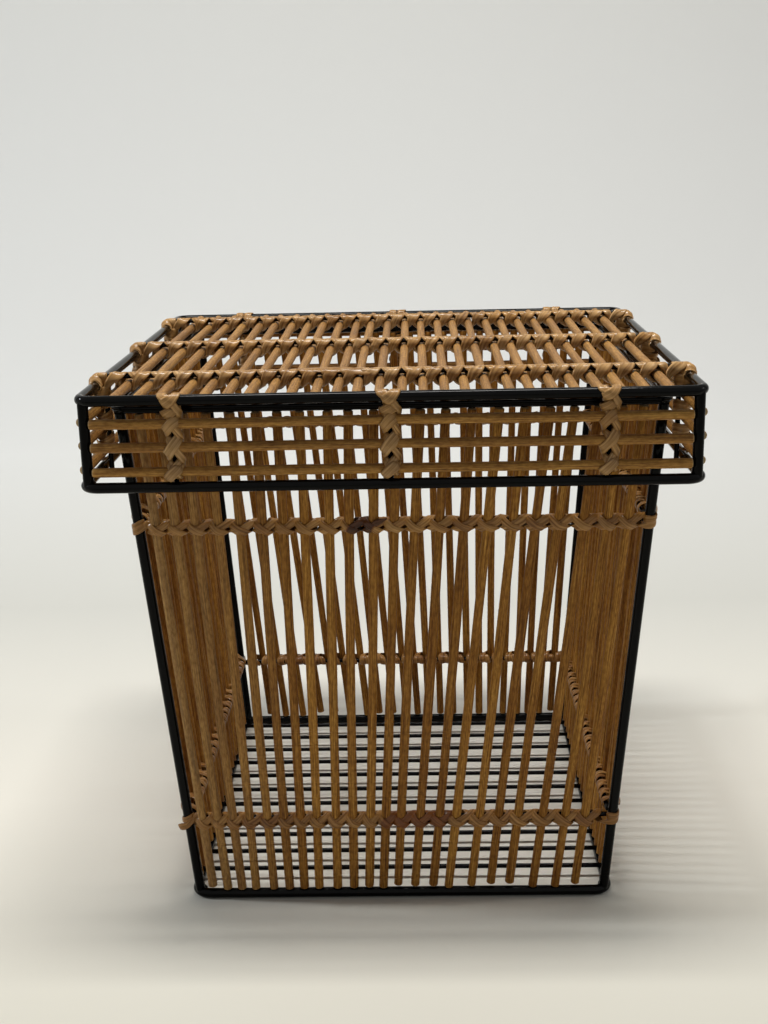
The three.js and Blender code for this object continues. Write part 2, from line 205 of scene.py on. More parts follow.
def coloured(tree, value, *stops):
    """Colours for a value: a stop is the value where it lies, then its red, green and blue.
    From one stop to the next the colours run evenly into each other."""
    run = tree.nodes.new("ShaderNodeValToRGB")
    colours = [(*stop[1:], 1) for stop in stops]
    first, last = run.color_ramp.elements
    first.position, first.color = stops[0][0], colours[0]
    last.position, last.color = stops[-1][0], colours[-1]
    for stop, colour in zip(stops[1:-1], colours[1:-1]):
        run.color_ramp.elements.new(stop[0]).color = colour
    tree.links.new(value, run.inputs["Fac"])
    return run.outputs["Color"]


def rough_by(tree, shader, value, at_none, at_full):
    """Roughness that goes evenly from one number to the other as the value goes from 0 to 1."""
    span = tree.nodes.new("ShaderNodeMapRange")
    span.inputs["To Min"].default_value = at_none
    span.inputs["To Max"].default_value = at_full
    tree.links.new(value, span.inputs["Value"])
    tree.links.new(span.outputs["Result"], shader.inputs["Roughness"])


def raised_by(tree, shader, value, strength, height):
    """A surface that looks raised where the value is high, by up to the height in metres."""
    bump = tree.nodes.new("ShaderNodeBump")
    bump.inputs["Strength"].default_value = strength
    bump.inputs["Distance"].default_value = height
    tree.links.new(value, bump.inputs["Height"])
    tree.links.new(bump.outputs["Normal"], shader.inputs["Normal"])


black_paint, tree, paint = new_finish("gloss_black_paint", mirroring=0.09)
in_space = tree.nodes.new("ShaderNodeTexCoord").outputs["Object"]
paint_runs = speckle(tree, in_space, scale=140, layers=3)
dust = speckle(tree, in_space, scale=35, layers=5)
dusty_black = coloured(tree, dust, (0.35, 0.0006, 0.0006, 0.0008), (0.8, 0.0026, 0.0024, 0.0024))
tree.links.new(dusty_black, paint.inputs["Base Color"])
rough_by(tree, paint, dust, 0.05, 0.12)
raised_by(tree, paint, paint_runs, strength=0.2, height=0.0004)

for node, body in (
    ("base_ring", "basket"), ("mouth_ring", "basket"),
    ("lid_upper_ring", "lid"), ("lid_lower_ring", "lid"),
):
    line, outward = ring_line(node)
    rod = carried(line, outward, circle_section(rod_radius, rod_sides), loop=True)
    ring = piece_of_grids(f"{node}_rod", rod[None], loop=True, tone=0.5)
    ring.data.materials.append(black_paint)
    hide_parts(node)
    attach(ring, body)


# The posts: round rod welded upright into the bends of the rings. They lean out from the base
# to the mouth, and the lid has four short upright ones. A lump of weld closes each joint.
post_inset = bend_radius * (1 - math.sqrt(0.5))
weld_radius = 0.0034
weld_lift = 0.0012
weld_shift = 0.0008
cut_edge = 0.78


def straight_bars(starts, ends, radius, sides, rings, bow=0.0, seed=0):
    """Straight round bars as one (bars, rings, sides, 3) array. Rings lie at even shares of the
    way from start to end, and two more close to either end, the last of them drawn in like a cut
    edge. A ring is moved aside by a half wave of a random height up to the bow, and across that
    by a ripple of three half waves, at most 0.3 as high. A bowed bar swells by 4 per cent."""
    chance = np.random.default_rng(seed)
    starts, ends = np.asarray(starts, float), np.asarray(ends, float)
    length = np.linalg.norm(ends - starts, axis=1)[:, None]
    heading = (ends - starts) / length
    upright = np.abs(heading[:, 2:]) > 0.7
    first = np.cross(heading, np.where(upright, [[0.0, 1.0, 0.0]], [[0.0, 0.0, 1.0]]))
    first /= np.linalg.norm(first, axis=1, keepdims=True)
    second = np.cross(heading, first)
    share = np.concatenate([[0, 0.0018], np.linspace(0.01, 0.99, rings - 4), [0.9982, 1]])
    size = np.ones(rings)
    size[[0, -1]] = cut_edge
    wave = np.sin(share * np.pi)[None, :] * chance.uniform(-bow, bow, (len(starts), 1))
    ripple = np.sin(share * np.pi * 3)[None, :] * chance.uniform(-bow, bow, (len(starts), 1)) * 0.3
    centre = starts[:, None] + share[None, :, None] * (ends - starts)[:, None]
    centre = centre + wave[..., None] * first[:, None] + ripple[..., None] * second[:, None]
    turns = (np.arange(sides) / sides * 2 * np.pi)[:, None]
    thick = 1 + 0.04 * np.sin(share[None] * 9 + chance.uniform(0, 6, (len(starts), 1))) * (bow > 0)
    reach = (radius * size[None] * thick)[:, :, None, None]
    outwards = np.cos(turns) * first[:, None, None] + np.sin(turns) * second[:, None, None]
    return centre[:, :, None] + reach * outwards


def weld_lumps(places, seed):
    """Lumps of weld as a (lumps, rings, sides, 3) array: each is a ball whose radius swells and
    shrinks by 13 per cent in two waves round it and by 8 per cent in waves from pole to pole,
    with its first and last rings near the poles."""
    chance = np.random.default_rng(seed)
    rings, sides = 12, 16
    near_pole = 0.06
    height = np.linspace(near_pole, np.pi - near_pole, rings)[None, :, None]
    turn = (np.arange(sides) / sides * 2 * np.pi)[None, None, :]
    phase = chance.uniform(0, 6, (len(places), 1, 1))
    swelling = 1 + 0.13 * np.sin(2 * turn + phase) * np.sin(height) + 0.08 * np.cos(3 * height + phase)
    reach = weld_radius * swelling
    ball = np.stack([
        reach * np.sin(height) * np.cos(turn),
        reach * np.sin(height) * np.sin(turn),
        reach * np.cos(height) * np.ones_like(turn),
    ], axis=-1)
    return np.asarray(places)[:, None, None] + ball


corner_names = "front_left", "front_right", "back_left", "back_right"
for body, low_ring, high_ring, post in (
    ("basket", "base_ring", "mouth_ring", "post"),
    ("lid", "lid_lower_ring", "lid_upper_ring", "lid_post"),
):
    levels, weld_places = [], []
    for node, lift in ((low_ring, weld_lift), (high_ring, -weld_lift)):
        low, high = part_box(node)
        reach_x = high.x - rod_radius - post_inset
        reach_y = high.y - rod_radius - post_inset
        level = (low.z + high.z) / 2
        corners = np.array([[x * reach_x, y * reach_y, level] for x in (-1, 1) for y in (-1, 1)])
        levels.append(corners)
        weld_places.append(corners - np.sign(corners) * [weld_shift, weld_shift, -lift])
    bars = straight_bars(levels[0], levels[1], rod_radius, rod_sides, rings=12)
    posts = piece_of_grids(f"{body}_posts", bars, loop=False, tone=0.5)
    lumps = weld_lumps(np.concatenate(weld_places), 3)
    welds = piece_of_grids(f"{body}_welds", lumps, loop=False, tone=0.5)
    for piece in (posts, welds):
        piece.data.materials.append(black_paint)
        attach(piece, body)
    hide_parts(*(f"{post}_{corner}" for corner in corner_names))


# The bottom wires: thin iron wire laid across the two side rails of the base ring and
# spot-welded there, at an even pitch. They carry what is put in the basket.
wire_radius = 0.0016
wire_sides = 14
sunk_in_weld = 0.1 * wire_radius
bottom_wire_names = [f"bottom_wire_{number:02d}" for number in range(1, 12)]

starts, ends = [], []
for node in bottom_wire_names:
    low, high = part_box(node)
    wire_y = (low.y + high.y) / 2
    wire_z = 2 * rod_radius + wire_radius - sunk_in_weld
    starts.append((low.x, wire_y, wire_z))
    ends.append((high.x, wire_y, wire_z))
bars = straight_bars(starts, ends, wire_radius, wire_sides, rings=10, bow=0.0004, seed=11)
bottom_wires = piece_of_grids("bottom_wires", bars, loop=False, tone=0.5)
bottom_wires.data.materials.append(black_paint)
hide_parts(*bottom_wire_names)
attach(bottom_wires, "basket")


# The wall wires: one thin wire low down and one high up inside each wall, welded to the posts.
# The canes are bound to them, and they are the only thing that holds the canes.
sunk_in_rod = 0.001


def node_ends(node, longwise):
    """The two end points of a wire's middle line, read from its box along one axis. Both ends
    are sunk a little way into the rods that they are welded to."""
    low, high = (np.array(corner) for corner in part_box(node))
    start, end = (low + high) / 2, (low + high) / 2
    start[longwise] = low[longwise] - sunk_in_rod
    end[longwise] = high[longwise] + sunk_in_rod
    return start, end


four_sides = "front", "right", "back", "left"
wall_wires = [f"{side}_wire_{level}" for side in four_sides for level in ("lower", "upper")]
spans = [node_ends(node, 0 if node[0] in "fb" else 1) for node in wall_wires]
starts, ends = zip(*spans)
bars = straight_bars(starts, ends, wire_radius, wire_sides, rings=8)
wall_wire_piece = piece_of_grids("wall_wires", bars, loop=False, tone=0.5)
wall_wire_piece.data.materials.append(black_paint)
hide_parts(*wall_wires)
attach(wall_wire_piece, "basket")


# The wall canes: peeled round rattan, cut to length and set side by side between base ring and
# mouth ring. They fan out with the wall and lean a little to either side, and show brown fibres
# and pale cut ends. At the left end of the front wall they are paler than elsewhere.
cane_radius = 0.0029
cane_sides = 14
cane_rings = 26

# Where the foot and the head of each front and back cane lie, as shares of the wall's width
# there, and how far each foot is held off the base rail. The side walls' canes stand evenly.
foot_shares = np.array([
    0.042, 0.078, 0.113, 0.147, 0.191, 0.229, 0.265, 0.301, 0.346, 0.386, 0.423,
    0.457, 0.493, 0.534, 0.578, 0.615, 0.67, 0.717, 0.762, 0.818, 0.872, 0.92,
])
head_shares = np.array([
    0.045, 0.083, 0.125, 0.166, 0.21, 0.256, 0.295, 0.336, 0.386, 0.424, 0.47,
    0.511, 0.554, 0.6, 0.647, 0.696, 0.742, 0.788, 0.831, 0.874, 0.917, 0.955,
])
wall_canes = 22
cane_number = np.arange(wall_canes)
even_shares = (cane_number + 1.5) / (wall_canes + 2)
side_drift = 0.0024 / 0.324
drifting_shares = even_shares + side_drift * np.sin(cane_number * 2.4)
foot_lifts = 0.003 * np.array([
    0.7, 0, 0, 0, 0, 0, 0.1, 0.1, 0.1, 0.2, 0.35, 0.1, 0.7, 0.5, 0.5, 0, 0.45, 0.9, 1, 0, 0, 0.7,
])
cane_clear = rod_radius + 0.0003
paler_canes = 6
most_faded = 0.3
front_left_fade = np.clip(most_faded * (1 - cane_number / paler_canes), 0, 1)[:, None, None]


def along_grain(tree, waves_round, waves_along):
    """The grain map, with so many waves a metre round the piece and so many along it."""
    grain_map = tree.nodes.new("ShaderNodeUVMap")
    grain_map.uv_map = "grain"
    stretch = tree.nodes.new("ShaderNodeMapping")
    stretch.inputs["Scale"].default_value = (waves_round, waves_along, 1)
    tree.links.new(grain_map.outputs["UV"], stretch.inputs["Vector"])
    return stretch.outputs["Vector"]


def held_value(tree, name):
    """The value that each point of the mesh holds under that name."""
    holder = tree.nodes.new("ShaderNodeAttribute")
    holder.attribute_name = name
    return holder.outputs["Fac"]


def tinted(tree, colour, tint, share):
    """A colour multiplied by a tint, in that share."""
    product = tree.nodes.new("ShaderNodeMix")
    product.data_type = "RGBA"
    product.blend_type = "MULTIPLY"
    product.inputs["Factor"].default_value = share
    tree.links.new(colour, product.inputs["A"])
    tree.links.new(tint, product.inputs["B"])
    return product.outputs["Result"]


cane_finish, tree, cane_shader = new_finish("rattan_cane", mirroring=0.15)
fibres = speckle(tree, along_grain(tree, 1900, 26), scale=1, layers=5, fineness=0.65)
patches = speckle(tree, along_grain(tree, 160, 14), scale=1, layers=3)
flecks = speckle(tree, along_grain(tree, 650, 230), scale=1, layers=3)
cane_brown = coloured(
    tree, fibres, (0.34, 0.13, 0.045, 0.006), (0.5, 0.46, 0.232, 0.044), (0.67, 0.68, 0.40, 0.10)
)
patch_tint = coloured(tree, patches, (0.3, 0.62, 0.5, 0.38), (0.65, 1, 1, 1))
tone_tint = coloured(
    tree, held_value(tree, "tone"),
    (0, 0.42, 0.36, 0.31), (0.3, 0.66, 0.56, 0.47), (1, 1.08, 1.06, 1.02),
)
fleck_tint = coloured(tree, flecks, (0.34, 0.60, 0.53, 0.45), (0.62, 1.12, 1.10, 1.06))
toned = tinted(tree, tinted(tree, cane_brown, patch_tint, 0.8), tone_tint, 1)
paled = tree.nodes.new("ShaderNodeMix")
paled.data_type = "RGBA"
paled.inputs["B"].default_value = (0.46, 0.35, 0.19, 1)
tree.links.new(held_value(tree, "pale"), paled.inputs["Factor"])
tree.links.new(toned, paled.inputs["A"])
flecked = tinted(tree, paled.outputs["Result"], fleck_tint, 0.75)
tree.links.new(flecked, cane_shader.inputs["Base Color"])
rough_by(tree, cane_shader, fibres, 0.62, 0.42)
raised_by(tree, cane_shader, fibres, strength=0.5, height=0.0003)


def wall_plane(quarter_turns, low_node, high_node):
    """The turn and the place of a wall's own axes: X along it, Y inwards and Z up its slope,
    from the middle of its foot. Also its foot width, head width and slope height."""
    widths, distances, levels = [], [], []
    for node in (low_node, high_node):
        low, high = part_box(node)
        across, outward = (0, 1) if quarter_turns % 2 == 0 else (1, 0)
        widths.append(high[across] - low[across] - 2 * rod_radius)
        distances.append(high[outward] - rod_radius)
        levels.append((low.z + high.z) / 2)
    lean = math.atan2(distances[1] - distances[0], levels[1] - levels[0])
    leaning = Matrix.Rotation(lean, 4, "X")
    turning = Matrix.Rotation(quarter_turns * math.pi / 2, 4, "Z")
    plane = np.array(turning @ Matrix.Translation((0, -distances[0], levels[0])) @ leaning)
    slope = math.hypot(distances[1] - distances[0], levels[1] - levels[0])
    return plane, widths[0], widths[1], slope


def on_plane(plane, points):
    """Points given in a wall's own axes, moved into the basket's."""
    return np.asarray(points) @ plane[:3, :3].T + plane[:3, 3]


walls = {}
for turns, side in enumerate(four_sides):
    plane, foot_width, head_width, slope = wall_plane(turns, "base_ring", "mouth_ring")
    is_side_wall = turns % 2 == 1
    feet, heads = (even_shares, drifting_shares) if is_side_wall else (foot_shares, head_shares)
    lifts = foot_lifts * (0 if is_side_wall else 1)
    foot = np.stack([(feet - 0.5) * foot_width, 0 * feet, cane_clear + lifts], axis=1)
    head = np.stack([(heads - 0.5) * head_width, 0 * feet, slope - cane_clear + 0 * feet], axis=1)
    walls[side] = plane, foot, head, foot_width, head_width, slope
    chance = np.random.default_rng(20 + turns)
    feet_there, heads_there = on_plane(plane, foot), on_plane(plane, head)
    bars = straight_bars(
        feet_there, heads_there, cane_radius, cane_sides, cane_rings, bow=0.0011, seed=40 + turns
    )
    tones = chance.uniform(0.42, 1, (wall_canes, 1, 1))
    worn = front_left_fade if side == "front" else 0.0
    canes = piece_of_grids(f"{side}_canes", bars, loop=False, tone=tones, cut=1.0, faded=worn)
    canes.data.materials.append(cane_finish)
    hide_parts(f"{side}_cane_wall")
    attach(canes, "basket")


# The wall bindings: two long strands of split rattan peel cross over every cane and wind round
# the wire between the canes, so that a chain of chevrons shows outside and slanting bands show
# inside. The peel is nearly flat, glossy on its outer side, and is tied off round the posts.
peel_width = 0.0050
peel_thickness = 0.0010
lower_level = 0.054
upper_level = 0.258
side_step = 0.0035
wire_depth = 0.0053636
post_depth = cane_radius - rod_radius + post_inset

# Each row is one key of a strand on its way over a cane and round the wire behind it. The
# numbers are the share, the depth, the rise and the facing that strand_keys reads.
over_strand = np.array([
    [-0.44, -3.4, 2.9, -0.1, 0.3, 1.0, 1.0],
    [-0.34, 0.6, 2.5, -0.35, 0.85, 0.5, 1.0],
    [-0.03, 3.7, -0.1, 0.0, 1.0, 0.0, 0.95],
    [0.27, 2.0, -2.6, 0.4, 0.85, -0.35, 0.95],
    [0.37, -2.4, -3.2, 0.2, 0.0, -1.0, 0.95],
    [0.32, -6.4, -2.2, 0.0, -0.8, -0.6, 1.0],
    [0.37, -7.4, 0.2, 0.0, -1.0, 0.0, 1.1],
    [0.45, -6.3, 2.4, 0.0, -0.7, 0.7, 1.0],
])
under_strand = np.array([
    [-0.36, -2.6, -3.0, -0.2, 0.0, -1.0, 1.0],
    [-0.27, 0.8, -2.1, -0.4, 0.85, -0.3, 1.0],
    [0.02, 3.0, -0.3, 0.0, 1.0, 0.0, 1.0],
    [0.38, 1.2, 2.3, 0.35, 0.85, 0.35, 1.0],
    [0.66, -1.8, 3.7, 0.1, 0.4, 0.9, 1.0],
    [0.77, -5.6, 2.8, 0.0, -0.5, 0.9, 1.0],
    [0.80, -7.4, 0.6, 0.0, -1.0, 0.2, 1.1],
    [0.74, -6.5, -1.9, 0.0, -0.8, -0.6, 1.0],
])
peel_section = np.array([
    [-1.0, 0.3], [-0.85, 0.75], [-0.45, 0.95], [0.0, 1.0],
    [0.45, 0.95], [0.85, 0.75], [1.0, 0.3], [0.0, 0.05],
]) * [peel_width / 2, peel_thickness]


millimetre = 0.001


def strand_keys(table, crossings, lowered, seed):
    """Key places and facings of one strand, for all crossings at once. A row of the table gives
    a share of the gap beside the crossing, then in millimetres how far to the front and across,
    then its facing: the outward direction, and the width as a share of the peel's. Lowered takes
    the rows in front of a crossing back. The hand's unevenness moves a key by up to half a
    millimetre."""
    chance = np.random.default_rng(seed)
    gaps = np.diff(crossings)
    before = np.append(gaps[0], gaps)[:, None]
    after = np.append(gaps, gaps[-1])[:, None]
    share = table[None, :, 0] + chance.uniform(-0.03, 0.03, (len(crossings), 1))
    run = crossings[:, None] + np.where(share < 0, share * before, share * after)
    depth = table[None, :, 1] * millimetre - lowered[:, None] * (table[None, :, 1] > 0)
    rise = table[None, :, 2] * millimetre + chance.uniform(-0.0005, 0.0005, run.shape)
    places = np.stack([run, depth, rise], axis=-1).reshape(-1, 3)
    facings = np.broadcast_to(table[None, :, 3:], (*run.shape, 4)).reshape(-1, 4)
    return places, facings


just_clear = 0.0001


def wrap_keys(run, depth, direction, degrees, rises, far_reach=rod_radius, width=1.0, lean=0.0):
    """Key places and facings of a turn round a rod, from the front at 0 degrees to the outer
    side at 90: a circle just over the rod, or behind the rod a half ellipse that is as deep as
    the far reach, while it rises as given in millimetres. Behind the rod it faces aside by lean."""
    angle = np.radians(degrees)
    along, front = direction * np.sin(angle), np.cos(angle)
    run = run + (rod_radius + just_clear) * along
    depth = depth + (np.where(front > 0, rod_radius, far_reach) + just_clear) * front
    places = np.stack([run, depth, np.asarray(rises) * millimetre + 0 * run], axis=1)
    facings = np.stack([along, front, lean * np.maximum(-front, 0), 0 * angle + width], axis=1)
    return places, facings


def smooth_line(keys, steps):
    """A curve through key places: between keys 1 and 2 it is the cubic that has, at either key,
    half the run between the two keys beside it as its slope."""
    padded = np.concatenate([2 * keys[:1] - keys[1:2], keys, 2 * keys[-1:] - keys[-2:-1]])
    a, b, c, d = padded[:-3, None], padded[1:-2, None], padded[2:-1, None], padded[3:, None]
    t = (np.arange(steps) / steps)[None, :, None]
    first_power = c - a
    second_power = 2 * a - 5 * b + 4 * c - d
    third_power = 3 * b - a - 3 * c + d
    line = 0.5 * (2 * b + first_power * t + second_power * t**2 + third_power * t**3)
    return np.concatenate([line.reshape(-1, keys.shape[1]), keys[-1:]])


taper_length = 0.006


def peel_piece(name, parts, axes, body, seed, width=1.0, tone_level=0.9, stains=()):
    """One strand of peel, from parts that each hold keys in runs along the wire, to the front and
    across, with their facings. Its width wanders by up to 15 per cent, it tapers to narrow cut
    ends, and each stain (from run, to run, tone) darkens a stretch of it."""
    chance = np.random.default_rng(seed)
    keys, facings = (np.concatenate(list(half)) for half in zip(*parts))
    line, facing = smooth_line(keys, 4), smooth_line(facings, 4)
    length = np.concatenate([[0], np.cumsum(np.linalg.norm(np.diff(line, axis=0), axis=1))])
    wander = 1 + 0.09 * np.sin(length * 190 + chance.uniform(0, 6)) + 0.06 * np.sin(length * 530)
    from_end = np.minimum(length, length[-1] - length)
    taper = np.clip(0.4 + from_end / taper_length, 0, 1)
    section = np.broadcast_to(peel_section, (len(line), *peel_section.shape)).copy()
    section[..., 0] *= (wander * taper * width * facing[:, 3])[:, None]
    section[..., 1] *= np.clip(0.6 + from_end / taper_length, 0, 1)[:, None]
    tone = tone_level + 0.12 * np.sin(length * 31 + chance.uniform(0, 6)) * np.sin(length * 12)
    for start, end, level in stains:
        tone = np.where((line[:, 0] > start) & (line[:, 0] < end), level, tone)
    grid = carried(line @ axes[:3], facing[:, :3] @ axes[:3], section, loop=False) + axes[3]
    strand = piece_of_grids(name, grid[None], loop=False, tone=tone[None, :, None])
    strand.data.materials.append(peel_finish)
    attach(strand, body)


peel_finish, tree, peel_shader = new_finish("split_peel", mirroring=0.15)
peel_shader.inputs["Coat Weight"].default_value = 0.3
peel_shader.inputs["Coat Roughness"].default_value = 0.14
in_space = tree.nodes.new("ShaderNodeTexCoord").outputs["Object"]
peel_lines = speckle(tree, along_grain(tree, 1500, 22), scale=1, layers=4)
brown_clouds = speckle(tree, in_space, scale=26, layers=3)
peel_brown = coloured(tree, peel_lines, (0.32, 0.25, 0.115, 0.022), (0.66, 0.66, 0.385, 0.12))
stain_tint = coloured(tree, brown_clouds, (0.34, 0.50, 0.40, 0.30), (0.56, 1, 1, 1))
strand_tint = coloured(
    tree, held_value(tree, "tone"), (0, 0.10, 0.055, 0.04), (0.35, 0.42, 0.25, 0.17),
    (0.78, 0.80, 0.745, 0.72), (1, 0.92, 0.98, 1.35),
)
peel_colour = tinted(tree, tinted(tree, peel_brown, stain_tint, 0.6), strand_tint, 1)
tree.links.new(peel_colour, peel_shader.inputs["Base Color"])
rough_by(tree, peel_shader, peel_lines, 0.5, 0.32)
raised_by(tree, peel_shader, peel_lines, strength=0.35, height=0.00025)

# A strand starts in a turn round the left post, in place of its first two keys there, and a tie
# ends in one round the right post.
post_keys = 2
start_angles, start_rises = [195, 150, 105, 60, 25], [-2.6, -2.5, -2.2, -1.7, -1.0]
finish_angles, finish_rises = [-15, 20, 60, 100, 145, 190], [-2.2, -2.0, -1.3, -0.3, 0.6, 1.0]
tie = np.array([[0.42, -7.2, 0.4], [0.48, -6.6, -1.6], [0.56, -3.4, -3.0], [0.68, -0.6, -2.6]])
tie_facings = np.array([[0, -1, 0, 1], [0, -0.8, -0.6, 1], [0.1, 0.1, -1, 1], [-0.1, 0.9, -0.5, 1]])

# On the front wall one strap end sticks out at the lower left post, a dark tail hangs from the
# upper row, and two stretches are stained.
flap = np.array([[-6.4, 1.4, -4.0], [-4.2, 2.8, -3.0], [-1.2, 3.5, -1.6]])
flap_facings = np.array([[-0.35, 1, 0, 1.9], [-0.25, 1, 0, 1.15], [0, 1, 0, 1]])
tail = np.array([[-13.5, 2.6, 1.2], [-10.5, 3.4, 2.6], [-7.0, 3.3, 4.2], [-3.5, 2.4, 5.4]])
tail_facings = np.array([[0, 1, 0, 0.8], [-0.2, 1, 0, 0.8], [0, 1, 0, 0.6], [0.3, 0.9, 0, 0.4]])
stained_runs = {
    "front_lower_binding": [(-0.011, 0.033, 0.33)],
    "front_upper_binding": [(-0.027, -0.012, 0.05)],
}

for turns, side in enumerate(four_sides):
    plane, foot, head, foot_width, head_width, slope = walls[side]
    for level, height, tone_level in (("lower", lower_level, 0.66), ("upper", upper_level, 0.74)):
        rise = height + (side_step if turns % 2 else 0)
        share = (rise - foot[:, 2]) / (head[:, 2] - foot[:, 2])
        canes_at = foot[:, 0] + (head[:, 0] - foot[:, 0]) * share
        post_at = ((1 - rise / slope) * foot_width + rise / slope * head_width) / 2 - post_inset
        origin = plane[:3, 2] * rise + plane[:3, 3]
        axes = np.array([plane[:3, 0], -plane[:3, 1], plane[:3, 2], origin])
        name = f"{side}_{level}_binding"
        seed = turns * 10 + (level == "upper")
        look = {"tone_level": tone_level, "stains": stained_runs.get(name, [])}

        over = strand_keys(over_strand, canes_at, 0 * canes_at, seed)
        peel_piece(f"{name}_over", [over], axes, "basket", seed, **look)

        crossings = np.append(-post_at, canes_at)
        taken_back = np.append(post_depth, 0 * canes_at)
        places, facings = strand_keys(under_strand, crossings, taken_back, seed)
        start = wrap_keys(-post_at, -post_inset, -1, start_angles, start_rises)
        if name == "front_lower_binding":
            start = (flap * millimetre - [post_at, post_inset, 0], flap_facings)
        strand = [start, (places[post_keys:], facings[post_keys:])]
        peel_piece(f"{name}_under", strand, axes, "basket", seed + 1, **look)

        if name == "front_upper_binding":
            tail_parts = [(tail * millimetre, tail_facings)]
            peel_piece(f"{name}_tail", tail_parts, axes, "basket", 98, stains=[(-0.02, 0.01, 0.1)])

        gap = post_at - canes_at[-1]
        tie_places = tie * [gap, millimetre, millimetre] + [canes_at[-1], 0, 0]
        finish = wrap_keys(post_at, -post_inset, 1, finish_angles, finish_rises)
        tie_parts = [(tie_places, tie_facings), finish]
        peel_piece(
            f"{name}_tie", tie_parts, axes, "basket", seed + 2, width=0.85, tone_level=tone_level
        )


# The lid's wires: three thin wires lie across the canes on top and are welded to the side
# rails, and three short upright ones stand inside each side of the skirt.
cross_wires = [f"lid_cross_wire_{row}" for row in ("front", "middle", "back")]
wire_spots = "left", "middle", "right"
skirt_wires = [f"lid_{side}_wire_{spot}" for side in four_sides for spot in wire_spots]
spans = [node_ends(node, 0) for node in cross_wires]
spans += [node_ends(node, 2) for node in skirt_wires]
starts, ends = zip(*spans)
bars = straight_bars(starts, ends, wire_radius, wire_sides, rings=8)
lid_wires = piece_of_grids("lid_wires", bars, loop=False, tone=0.5)
lid_wires.data.materials.append(black_paint)
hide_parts(*cross_wires, *skirt_wires)
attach(lid_wires, "lid")


# The lid's canes: straight lengths laid from the front rail to the back one inside the top
# ring, the outermost ones a little further apart, and three level ones on each side of the
# skirt, between the short posts. Light has faded the ones on top.
lid_low, lid_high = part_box("lid_upper_ring")
lid_half = lid_high.x - rod_radius
lid_level = (lid_low.z + lid_high.z) / 2
skirt_low, skirt_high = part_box("lid_lower_ring")
skirt_height = lid_level - (skirt_low.z + skirt_high.z) / 2
lid_cane_count = 26
lid_pitches = lid_cane_count + 2.6
lid_pitch = 2 * lid_half / lid_pitches
even_runs = (np.arange(lid_cane_count) - (lid_cane_count - 1) / 2) * lid_pitch
outermost_spread = 0.022
lid_runs = even_runs * (1 + outermost_spread * (even_runs / even_runs[-1]) ** 4)
chance = np.random.default_rng(5)
drift = chance.uniform(-0.0007, 0.0007, (2, lid_cane_count))
cane_end = np.full(lid_cane_count, lid_half - cane_clear)
all_level = np.full(lid_cane_count, lid_level)
starts = np.stack([lid_runs + drift[0], -cane_end, all_level], axis=1)
ends = np.stack([lid_runs + drift[1], cane_end, all_level], axis=1)
bars = straight_bars(starts, ends, cane_radius, cane_sides, cane_rings, bow=0.0009, seed=60)
tones = chance.uniform(0.2, 0.55, (lid_cane_count, 1, 1))
lid_canes = piece_of_grids("lid_canes", bars, loop=False, tone=tones, cut=1.0, faded=0.2)
lid_canes.data.materials.append(cane_finish)
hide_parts("lid_cane_panel")
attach(lid_canes, "lid")

skirt_drops = np.array([0.265, 0.535, 0.82]) * skirt_height
skirt_end = lid_half - post_inset - cane_clear
skirts = {}
for turns, side in enumerate(four_sides):
    turning = Matrix.Rotation(turns * math.pi / 2, 4, "Z")
    plane = np.array(turning @ Matrix.Translation((0, -lid_half, lid_level)))
    skirts[side] = plane
    starts = on_plane(plane, np.stack([np.full(3, -skirt_end), np.zeros(3), -skirt_drops], axis=1))
    ends = on_plane(plane, np.stack([np.full(3, skirt_end), np.zeros(3), -skirt_drops], axis=1))
    bars = straight_bars(
        starts, ends, cane_radius, cane_sides, cane_rings, bow=0.0007, seed=70 + turns
    )
    tones = chance.uniform(0.5, 1, (3, 1, 1))
    canes = piece_of_grids(f"lid_{side}_canes", bars, loop=False, tone=tones, cut=1.0, faded=0.12)
    canes.data.materials.append(cane_finish)
    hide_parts(f"lid_{side}_skirt")
    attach(canes, "lid")


# The lid's bindings: the same two strands of peel, wound across the lid along each of its three
# wires. Seen from above they lie in broad slanting turns side by side on the wire, and a full
# turn goes round either side rail. A third strap is spliced in along the front row.
wire_top = wire_depth + wire_radius
lid_over_strand = np.array([
    [-0.50, -3.6, 2.4, 0.0, 0.0, 1.0, 0.8],
    [-0.36, 0.4, 2.2, -0.35, 0.85, 0.5, 0.8],
    [-0.03, 3.75, -0.3, 0.0, 1.0, 0.0, 1.0],
    [0.25, 1.8, -2.8, 0.4, 0.8, -0.4, 0.8],
    [0.32, -2.4, -3.5, 0.1, 0.0, -1.0, 0.9],
    [0.20, -6.0, -2.4, 0.0, -0.8, -0.6, 1.1],
    [0.25, -6.9, 0.0, 0.0, -1.0, 0.0, 1.3],
    [0.36, -6.2, 2.3, 0.0, -0.75, 0.7, 1.15],
])
lid_under_strand = np.array([
    [-0.26, -2.4, -3.0, -0.2, 0.0, -1.0, 0.9],
    [-0.22, 0.8, -2.3, -0.4, 0.8, -0.4, 0.8],
    [0.02, 3.0, -0.3, 0.0, 1.0, 0.0, 1.0],
    [0.28, 1.4, 2.2, 0.35, 0.8, 0.5, 0.85],
    [0.40, -1.6, 3.7, 0.1, 0.2, 1.0, 1.1],
    [0.54, -4.6, 3.8, 0.0, -0.25, 1.0, 1.35],
    [0.70, -6.1, 2.5, 0.0, -0.75, 0.7, 1.4],
    [0.80, -6.75, 0.3, 0.0, -1.0, 0.0, 1.4],
    [0.84, -6.2, -2.1, 0.0, -0.75, -0.7, 1.2],
])
splice = np.array([
    [-61.0, -5.6, -2.2], [-56.0, -6.7, -0.6], [-48.0, -6.8, 0.4], [-39.0, -6.5, 1.2],
    [-30.0, -6.6, 0.8], [-22.0, -5.9, 2.2], [-15.0, -5.6, 2.8], [-9.5, -5.9, 2.0],
])
